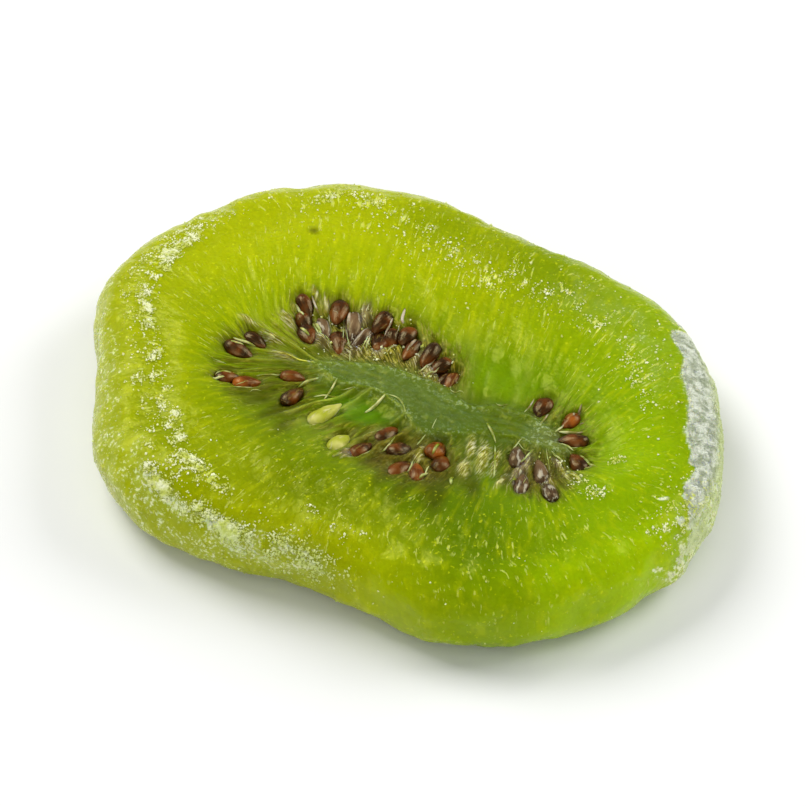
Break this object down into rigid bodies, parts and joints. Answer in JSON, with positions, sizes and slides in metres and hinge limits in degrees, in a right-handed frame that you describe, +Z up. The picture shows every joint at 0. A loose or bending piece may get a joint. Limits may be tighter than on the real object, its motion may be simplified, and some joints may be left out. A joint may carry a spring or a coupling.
{
  "type": "dried kiwi slice",
  "caption": "Slice of dried, sugared kiwi: an oval, round-edged disc of green flesh with a ring of dark seeds round a pale core.",
  "frame": {"origin": "on the surface the slice lies on, under the middle of its extent", "axes": "+X along the long way of the core and of the slice, +Y across it in the plane of the slice, +Z up through the thickness, towards the face that shows"},
  "size_m": [0.0482, 0.0372, 0.0074],
  "materials": {
    "flesh": "satin",
    "seed": "satin",
    "unripe_seed": "satin",
    "fibre": "satin",
    "sugar": "satin"
  },
  "bodies": {
    "root": {"slice": "flesh"}
  },
  "joints": []
}
